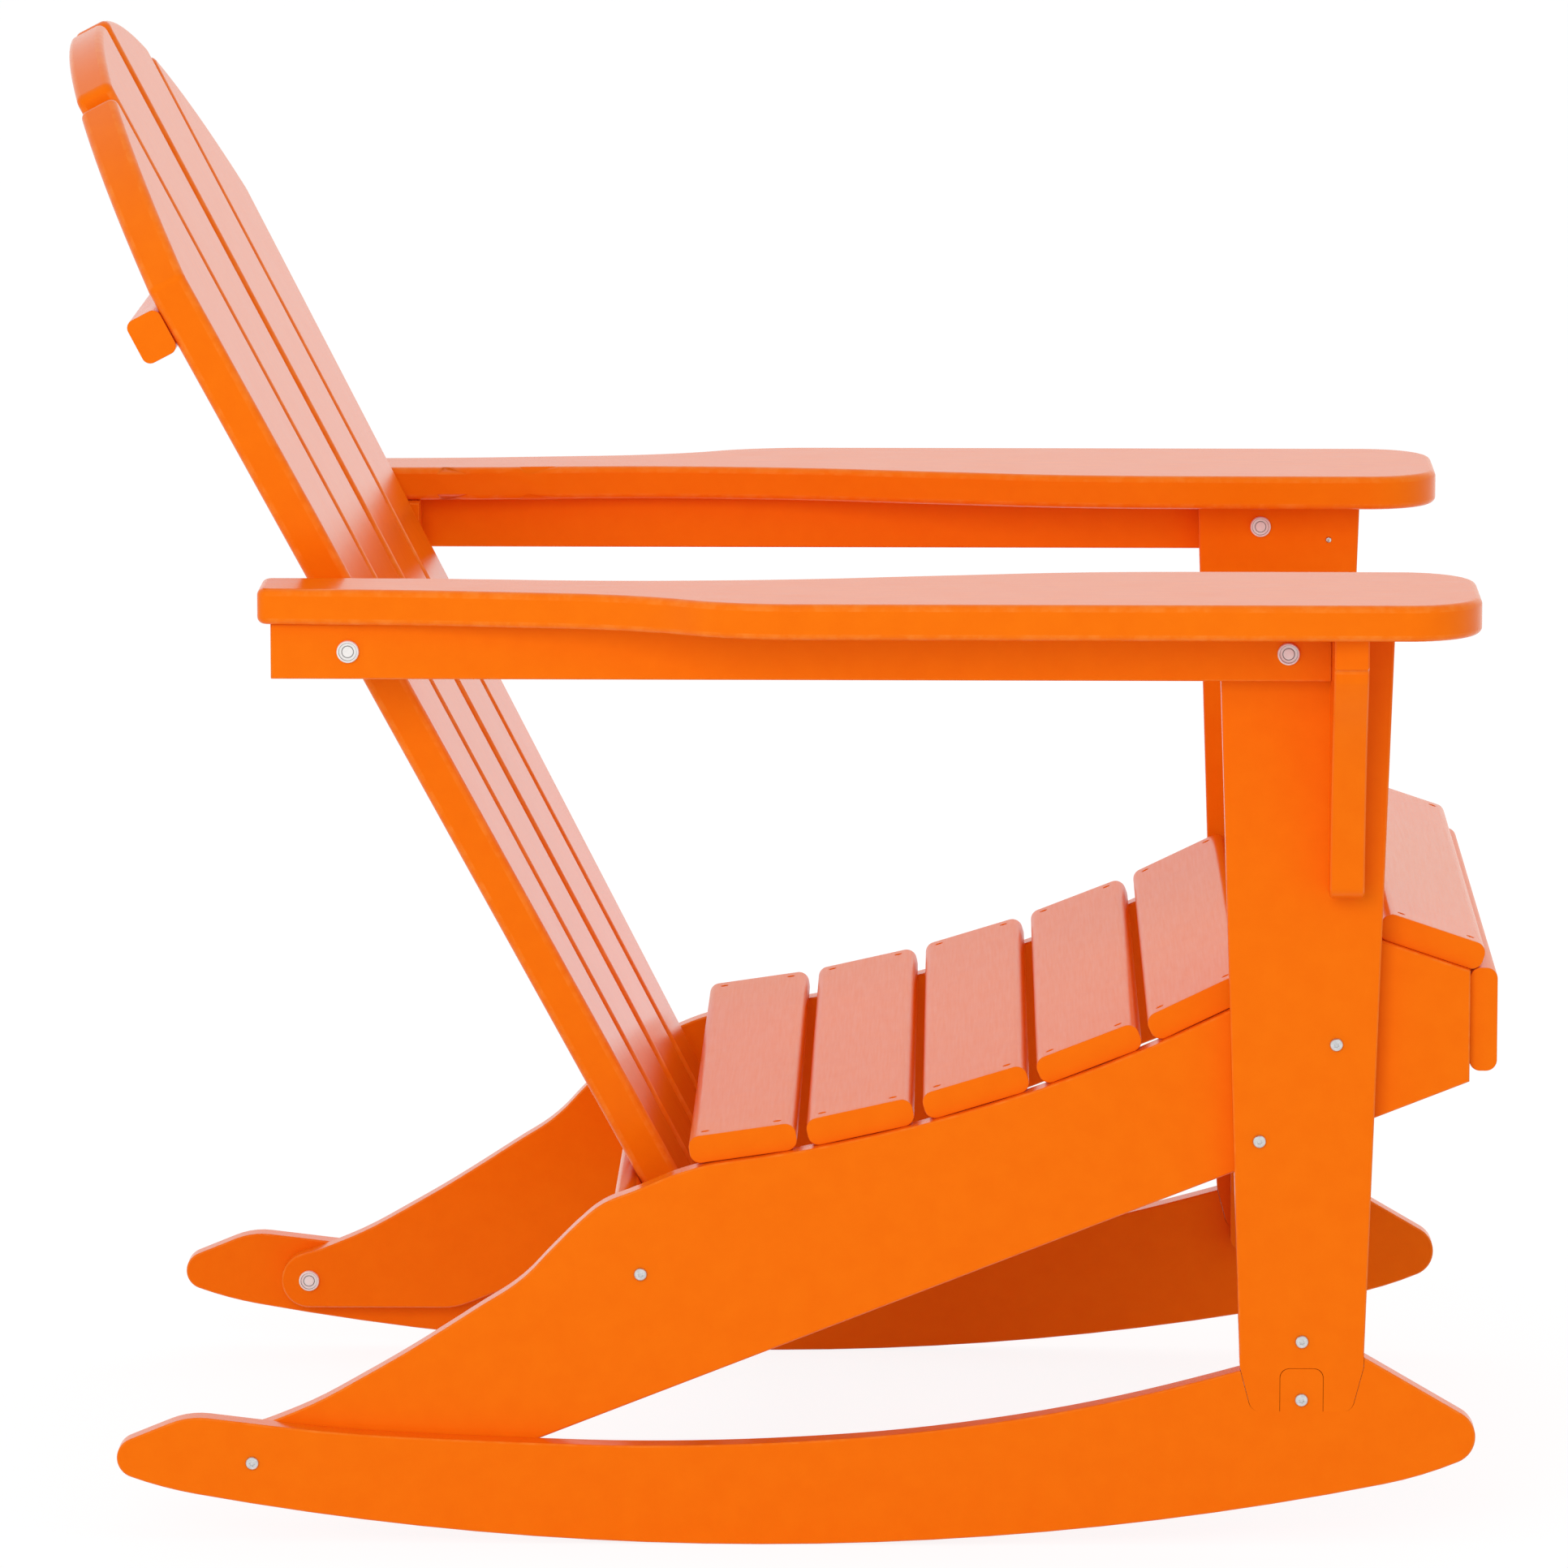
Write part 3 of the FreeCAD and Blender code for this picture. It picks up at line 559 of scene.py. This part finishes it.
def round_edges(bm, turns, radius, lines):
    """Rounds the outward edges that turn by an angle in the range, except round the bolts' holes."""
    least, most = turns
    chosen = []
    for edge in bm.edges:
        if not edge.is_manifold or not edge.is_convex:
            continue
        if not least < math.degrees(edge.calc_face_angle()) < most:
            continue
        middle = (edge.verts[0].co + edge.verts[1].co) / 2
        if any(math.hypot(middle.x - x, middle.z - z) < HOLE_CLEAR for x, z in lines):
            continue
        chosen.append(edge)
    bmesh.ops.bevel(
        bm, geom=chosen, offset=radius, offset_type="OFFSET", segments=2, profile=0.5,
        affect="EDGES", clamp_overlap=True, material=-1)


def same_both_sides(bm):
    """Gives a board the rounded rim of its better side on its plain side too."""
    plain = max(bm.faces, key=lambda face: face.calc_area())
    normal = plain.normal.copy()
    level = plain.verts[0].co.dot(normal)
    depth = level - min(vert.co.dot(normal) for vert in bm.verts)
    centre = normal * (level - depth / 2)
    bmesh.ops.bisect_plane(
        bm, geom=bm.verts[:] + bm.edges[:] + bm.faces[:], dist=CUT, plane_co=centre, plane_no=normal,
        clear_outer=True)
    copy = bmesh.ops.duplicate(bm, geom=bm.verts[:] + bm.edges[:] + bm.faces[:])["geom"]
    flip = Matrix.Translation(centre) @ Matrix.Scale(-1, 4, normal) @ Matrix.Translation(-centre)
    verts = [item for item in copy if isinstance(item, bmesh.types.BMVert)]
    faces = [item for item in copy if isinstance(item, bmesh.types.BMFace)]
    bmesh.ops.transform(bm, matrix=flip, verts=verts)
    bmesh.ops.reverse_faces(bm, faces=faces)
    merge_flat(bm)


def dress_board(name, material, shape=None, drill=None):
    """Replaces one board's node by a piece with softened edges."""
    boards = bpy.context.scene.chair_boards
    bm = solid_copy(name)
    if shape:
        shape(bm)
    lines = bolt_lines()
    round_edges(bm, CHAMFER_TURNS, boards.chamfer_round, lines)
    if not name.endswith(("front_post", "rocker", "bracket")):
        round_edges(bm, CORNER_TURNS, boards.end_round, lines)
    mark_edges(bm)
    if drill:
        drill(bm)
    finished(name + "_board", bm, material, [name])


def top_face(bm):
    return max((face for face in bm.faces if face.normal.z > UPWARD), key=lambda face: face.calc_area())


def hole_places(bm):
    """Where a seat slat's screws go: the middles of its four holes, its normal and the way across it."""
    screws = bpy.context.scene.chair_screws
    top = top_face(bm)
    normal = top.normal.copy()
    along = ACROSS.cross(normal)
    middle = sum((vert.co for vert in top.verts), Vector()) / len(top.verts)
    reach = max(vert.co.y for vert in top.verts) - screws.hole_set
    places = []
    for side in (-1, 1):
        for way in (-1, 1):
            places.append(middle + ACROSS * side * reach + along * way * screws.hole_spread)
    return places, normal, along


def nearest_face(bm, place):
    return min(bm.faces, key=lambda face: (face.calc_center_median() - place).length)


def inset(bm, face, thickness, depth):
    bmesh.ops.inset_individual(bm, faces=[face], thickness=thickness, depth=depth, use_even_offset=True)


def sink_holes(bm):
    """Sinks the screw holes into a seat slat's upper face."""
    screws = bpy.context.scene.chair_screws
    places, normal, along = hole_places(bm)
    level = places[0].dot(normal)
    radius = screws.hole_diameter / 2
    half = radius * HOLE_CELL_SHARE
    for way in (ACROSS, along):
        cuts = {round((place.dot(way) + side * half), 6) for place in places for side in (-1, 1)}
        for cut in cuts:
            faces = [
                face for face in bm.faces
                if face.normal.dot(normal) > SAME_WAY and abs(face.verts[0].co.dot(normal) - level) < LEVEL]
            edges = {edge for face in faces for edge in face.edges}
            bmesh.ops.bisect_plane(bm, geom=faces + list(edges), dist=CUT, plane_co=way * cut, plane_no=way)
    for place in places:
        inset(bm, nearest_face(bm, place), half - radius * HOLE_START_SHARE, 0)
        cell = nearest_face(bm, place)
        bmesh.ops.bisect_edges(bm, edges=list(cell.edges), cuts=HOLE_CUTS)
        for vert in cell.verts:
            vert.co = place + (vert.co - place).normalized() * radius
        inset(bm, cell, HOLE_LIP, -HOLE_LIP)
        inset(bm, cell, HOLE_TAPER, HOLE_LIP - screws.hole_depth)


def turned(profile, place, way, steps):
    """A solid that is turned from a profile of (radius, height) pairs about the line through a place."""
    bm = bmesh.new()
    aside = way.orthogonal().normalized()
    verts = [bm.verts.new(place + aside * radius + way * height) for radius, height in profile]
    edges = [bm.edges.new(ends) for ends in zip(verts, verts[1:])]
    bmesh.ops.spin(
        bm, geom=verts + edges, cent=place, axis=way, angle=math.tau, steps=steps, use_merge=True)
    bmesh.ops.remove_doubles(bm, verts=bm.verts, dist=MERGE)
    bmesh.ops.recalc_face_normals(bm, faces=bm.faces)
    return bm


def sink_recess(bm, place, way, radius, lobes, dip, depth):
    """Closes the open ring at a head's top with a lobed drive recess."""
    ring = [
        edge for edge in bm.edges
        if edge.is_boundary and all(
            (vert.co - place).cross(way).length < radius * 1.1 for vert in edge.verts)]
    face = bmesh.ops.edgeloop_fill(bm, edges=ring)["faces"][0]
    if face.normal.dot(way) < 0:
        face.normal_flip()
    aside = way.orthogonal().normalized()
    other = way.cross(aside)
    for vert in face.verts:
        arm = vert.co - place
        height = arm.dot(way)
        turn = math.atan2(arm.dot(other), arm.dot(aside))
        spread = radius * (1 - dip * (0.5 - 0.5 * math.cos(lobes * turn)))
        vert.co = place + way * height + (aside * math.cos(turn) + other * math.sin(turn)) * spread
    inset(bm, face, radius * RECESS_TAPER_SHARE, -depth)


def add_part(bm, part):
    """Adds a finished part to a piece of several."""
    mesh = bpy.data.meshes.new("part")
    part.to_mesh(mesh)
    part.free()
    bm.from_mesh(mesh)
    bpy.data.meshes.remove(mesh)


def domed_bolt(place, way, length):
    """A bolt with a domed head on the face and its shank behind it."""
    bolts = bpy.context.scene.chair_bolts
    head = bolts.dome_diameter / 2
    height = bolts.dome_height
    shank = bolts.shank_diameter / 2
    ring = head * DOME_RING_SHARE
    rim = height * DOME_RIM_SHARE
    profile = [(ring, height)]
    for step in range(1, DOME_POINTS + 1):
        angle = math.radians(90 * step / DOME_POINTS)
        profile.append((ring + (head - ring) * math.sin(angle), rim + (height - rim) * math.cos(angle)))
    profile += [
        (head, 0), (shank, 0), (shank, SHANK_CHAMFER - length), (shank - SHANK_CHAMFER, -length),
        (0, -length)]
    bm = turned(profile, place, way, BOLT_STEPS)
    sink_recess(bm, place, way, ring, lobes=6, dip=0.3, depth=height * DOME_RECESS_SHARE)
    return bm


def ringed_cap(place, way, radius, height):
    """A snap cap: a rounded rim, a sunk ring, a groove and a flat button."""
    return turned([(x * radius, z * height) for x, z in CAP_SHARES], place, way, CAP_STEPS)


def mark_grooves(bm, caps):
    """Marks the sunk rings of the caps, which get a painted shade."""
    layer = bm.loops.layers.float.new("groove")
    for face in bm.faces:
        middle = face.calc_center_median()
        place, way, radius = min(caps, key=lambda cap: (cap[0] - middle).length)
        share = (middle - place).cross(way).length / radius
        if any(low < share < high for low, high in GROOVE_SHARES):
            for loop in face.loops:
                loop[layer] = 1.0


def slat_screw(place, way, diameter):
    """The head of a wood screw with a four-lobed recess, sunk in its hole."""
    head = diameter / 2
    ring = head * SLAT_HEAD_RING_SHARE
    edge, rim, base = SLAT_HEAD_DROPS
    profile = [(ring, 0), (head * SLAT_HEAD_SHARE, -edge), (head, -rim), (head, -base), (0, -base)]
    bm = turned(profile, place, way, SCREW_STEPS)
    sink_recess(bm, place, way, ring, lobes=4, dip=0.6, depth=SLAT_RECESS)
    return bm


def pan_screw(place, way, diameter):
    """A small pan head with a four-lobed recess, seated on a face."""
    head = diameter / 2
    height = head * PAN_HEIGHT_SHARE
    profile = [(x * head, z * height) for x, z in PAN_SHARES] + [(head, -PAN_SUNK), (0, -PAN_SUNK)]
    bm = turned(profile, place, way, SCREW_STEPS)
    sink_recess(bm, place, way, profile[0][0], lobes=4, dip=0.6, depth=height * PAN_RECESS_SHARE)
    return bm


class CHAIR_OT_sides(bpy.types.Operator):
    """Dress the boards of both sides: rockers, posts, seat rails, arm rails, brackets and blocks"""
    bl_idname = "rocking_chair.sides"
    bl_label = "Sides"

    def execute(self, context):
        for name in LENGTHWISE:
            if name != "arm":
                for side in pair(name):
                    dress_board(side, lengthwise_lumber())
        for name in STANDING:
            for side in pair(name):
                dress_board(side, standing_lumber())
        return {"FINISHED"}


class CHAIR_OT_arms(bpy.types.Operator):
    """Dress the two arms, rounded above and below"""
    bl_idname = "rocking_chair.arms"
    bl_label = "Arms"

    def execute(self, context):
        for side in pair("arm"):
            dress_board(side, lengthwise_lumber(), same_both_sides)
        return {"FINISHED"}


class CHAIR_OT_seat(bpy.types.Operator):
    """Dress the seat slats with their screw holes, and the apron"""
    bl_idname = "rocking_chair.seat"
    bl_label = "Seat"

    def execute(self, context):
        for name in SEAT:
            lumber = smooth_crosswise_lumber() if name == "front_seat_slat" else crosswise_lumber()
            dress_board(name, lumber, drill=sink_holes)
        dress_board("front_apron", crosswise_lumber())
        return {"FINISHED"}


class CHAIR_OT_back(bpy.types.Operator):
    """Dress the slats and the cross rails of the back"""
    bl_idname = "rocking_chair.back"
    bl_label = "Back"

    def execute(self, context):
        for name in RECLINED:
            for side in pair(name):
                dress_board(side, reclined_lumber(), same_both_sides)
        for name in CROSSWISE:
            if name != "front_apron":
                dress_board(name, smooth_crosswise_lumber())
        return {"FINISHED"}


class CHAIR_OT_bolts(bpy.types.Operator):
    """Turn the domed bolts of the sides"""
    bl_idname = "rocking_chair.bolts"
    bl_label = "Bolts"

    def execute(self, context):
        bolts = context.scene.chair_bolts
        for name in DOMED:
            bm = bmesh.new()
            for low, high in loose_parts(name):
                middle = (low + high) / 2
                side = math.copysign(1, middle.y)
                outer = max(abs(low.y), abs(high.y)) - bolts.dome_height
                inner = min(abs(low.y), abs(high.y))
                place = Vector((middle.x, side * outer, middle.z))
                add_part(bm, domed_bolt(place, ACROSS * side, outer - inner))
            finished(name + "_domed", bm, steel_material(), [name])
        shanks = frame["nodes"]["arm_rail_bolts"]
        for slot in shanks.material_slots:
            slot.material = steel_material()
        return {"FINISHED"}


class CHAIR_OT_caps(bpy.types.Operator):
    """Turn the caps over the bolts' ends"""
    bl_idname = "rocking_chair.caps"
    bl_label = "Caps"

    def execute(self, context):
        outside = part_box("left_arm_rail")[1].y
        bm = bmesh.new()
        caps = []
        for low, high in loose_parts("bolt_caps"):
            middle = (low + high) / 2
            outward = abs(middle.y) > outside
            side = math.copysign(1, middle.y)
            way = ACROSS * (side if outward else -side)
            height = high.y - low.y
            place = middle - way * height / 2
            caps.append((place, way, (high.x - low.x) / 2))
            add_part(bm, ringed_cap(*caps[-1], height))
        mark_grooves(bm, caps)
        finished("ringed_caps", bm, cap_material(), ["bolt_caps"])
        return {"FINISHED"}


class CHAIR_OT_screws(bpy.types.Operator):
    """Set the screws of the seat slats into their holes, and the arm brackets' on the posts' inner faces"""
    bl_idname = "rocking_chair.screws"
    bl_label = "Screws"

    def execute(self, context):
        screws = context.scene.chair_screws
        bm = bmesh.new()
        for name in SEAT:
            slat = solid_copy(name)
            places, normal, _ = hole_places(slat)
            slat.free()
            sunk = normal * (screws.hole_depth - SLAT_HEAD_DROPS[-1])
            for place in places:
                add_part(bm, slat_screw(place - sunk, normal, screws.head_diameter))
        finished("slat_screws", bm, steel_material(), [])
        bm = bmesh.new()
        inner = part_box("left_front_post")[0].y
        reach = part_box("left_arm_bracket")[1].x - screws.bracket_set
        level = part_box("left_arm_bracket")[1].z - screws.bracket_drop
        for side in (-1, 1):
            place = Vector((reach, side * inner, level))
            add_part(bm, pan_screw(place, ACROSS * -side, screws.bracket_head))
        finished("bracket_screws", bm, steel_material(), [])
        return {"FINISHED"}


class CHAIR_OT_studio(bpy.types.Operator):
    """Set the pale floor, the soft light and the camera of the photograph"""
    bl_idname = "rocking_chair.studio"
    bl_label = "Studio"

    def execute(self, context):
        clear_startup()
        studio = context.scene.chair_studio
        make_floor(studio)
        make_light(studio)
        make_camera(studio)
        context.scene.view_settings.view_transform = "Standard"
        return {"FINISHED"}


def clear_startup():
    """Removes the cube, lamp and camera that a new file starts with."""
    for item in list(bpy.data.objects):
        if item.type in ("MESH", "LIGHT", "CAMERA") and item.name in ("Cube", "Light", "Camera"):
            bpy.data.objects.remove(item)


def seen_share(tree):
    """1 for the camera's own rays, reflections and what shows through, else 0."""
    path = add_node(tree, "ShaderNodeLightPath")
    share = path.outputs["Is Camera Ray"]
    for name in ("Is Glossy Ray", "Is Transmission Ray"):
        node = add_node(tree, "ShaderNodeMath", operation="MAXIMUM")
        tree.links.new(share, node.inputs[0])
        tree.links.new(path.outputs[name], node.inputs[1])
        share = node.outputs["Value"]
    return share


def make_floor(studio):
    """A white floor that keeps a faint shadow of the chair."""
    bm = bmesh.new()
    bmesh.ops.create_grid(bm, x_segments=1, y_segments=1, size=studio.floor_size / 2)
    bmesh.ops.translate(bm, verts=bm.verts, vec=(0, 0, -FLOOR_DROP))
    mesh = bpy.data.meshes.new("floor")
    bm.to_mesh(mesh)
    bm.free()
    material = bpy.data.materials.new("Studio floor")
    material.use_nodes = True
    tree = material.node_tree
    tree.nodes.remove(tree.nodes["Principled BSDF"])
    bounce = add_node(tree, "ShaderNodeBsdfDiffuse")
    bounce.inputs["Color"].default_value = (FLOOR_BOUNCE, FLOOR_BOUNCE, FLOOR_BOUNCE, 1)
    shadow = add_node(tree, "ShaderNodeBsdfDiffuse")
    shadow.inputs["Color"].default_value = (FLOOR_SHADOW, FLOOR_SHADOW, FLOOR_SHADOW, 1)
    glow = add_node(tree, "ShaderNodeEmission")
    glow.inputs["Strength"].default_value = FLOOR_GLOW
    shown = add_node(tree, "ShaderNodeAddShader")
    tree.links.new(glow.outputs["Emission"], shown.inputs[0])
    tree.links.new(shadow.outputs["BSDF"], shown.inputs[1])
    mix = add_node(tree, "ShaderNodeMixShader")
    tree.links.new(seen_share(tree), mix.inputs["Fac"])
    tree.links.new(bounce.outputs["BSDF"], mix.inputs[1])
    tree.links.new(shown.outputs["Shader"], mix.inputs[2])
    tree.links.new(mix.outputs["Shader"], tree.nodes["Material Output"].inputs["Surface"])
    mesh.materials.append(material)
    floor = bpy.data.objects.new("floor", mesh)
    bpy.context.collection.objects.link(floor)


def make_light(studio):
    """Even light from all round, a large soft lamp on the camera's side and a weaker one across from it."""
    world = bpy.data.worlds.new("Studio")
    bpy.context.scene.world = world
    world.use_nodes = True
    tree = world.node_tree
    background = tree.nodes["Background"]
    background.inputs["Color"].default_value = (1, 1, 1, 1)
    strength = ranged(tree, seen_share(tree), 0.0, 1.0, studio.daylight, 1.0)
    tree.links.new(strength, background.inputs["Strength"])
    for name, place, power in (
            ("soft_lamp", LAMP_PLACE, studio.lamp_power), ("fill_lamp", FILL_PLACE, studio.fill_power)):
        lamp = bpy.data.lights.new(name, "AREA")
        lamp.shape = "SQUARE"
        lamp.size = studio.lamp_size
        lamp.energy = power
        item = bpy.data.objects.new(name, lamp)
        item.location = place
        item.rotation_euler = (LAMP_AIM - item.location).to_track_quat("-Z", "Y").to_euler()
        item.visible_glossy = False
        bpy.context.collection.objects.link(item)


def make_camera(studio):
    camera = bpy.data.cameras.new("camera")
    camera.sensor_width = 36
    camera.lens = studio.lens
    camera.clip_end = CAMERA_REACH
    item = bpy.data.objects.new("camera", camera)
    item.location = CAMERA_PLACE
    item.rotation_euler = (CAMERA_TILT, 0, CAMERA_TURN)
    bpy.context.collection.objects.link(item)
    bpy.context.scene.camera = item


OPERATORS = (
    CHAIR_OT_studio, CHAIR_OT_sides, CHAIR_OT_arms, CHAIR_OT_seat, CHAIR_OT_back, CHAIR_OT_bolts,
    CHAIR_OT_caps, CHAIR_OT_screws)
SETTINGS = (
    ("chair_boards", ChairBoards), ("chair_screws", ChairScrews), ("chair_bolts", ChairBolts),
    ("chair_finish", ChairFinish), ("chair_studio", ChairStudio))


class CHAIR_PT_panel(bpy.types.Panel):
    """Lists the pieces of the chair and what can be changed"""
    bl_label = "Rocking Chair"
    bl_idname = "CHAIR_PT_panel"
    bl_space_type = "VIEW_3D"
    bl_region_type = "UI"
    bl_category = "Rocking Chair"

    def draw(self, context):
        layout = self.layout
        for operator in OPERATORS:
            layout.operator(operator.bl_idname)
        for name, kind in SETTINGS:
            box = layout.box()
            group = getattr(context.scene, name)
            for label in kind.__annotations__:
                box.prop(group, label)


def register():
    for name, kind in SETTINGS:
        bpy.utils.register_class(kind)
        setattr(bpy.types.Scene, name, bpy.props.PointerProperty(type=kind))
    for kind in OPERATORS:
        bpy.utils.register_class(kind)
    bpy.utils.register_class(CHAIR_PT_panel)


def unregister():
    bpy.utils.unregister_class(CHAIR_PT_panel)
    for kind in reversed(OPERATORS):
        bpy.utils.unregister_class(kind)
    for name, kind in reversed(SETTINGS):
        delattr(bpy.types.Scene, name)
        bpy.utils.unregister_class(kind)


def main():
    register()
    bpy.ops.rocking_chair.studio()
    bpy.ops.rocking_chair.sides()
    bpy.ops.rocking_chair.arms()
    bpy.ops.rocking_chair.seat()
    bpy.ops.rocking_chair.back()
    bpy.ops.rocking_chair.bolts()
    bpy.ops.rocking_chair.caps()
    bpy.ops.rocking_chair.screws()


if __name__ == "__main__":
    main()
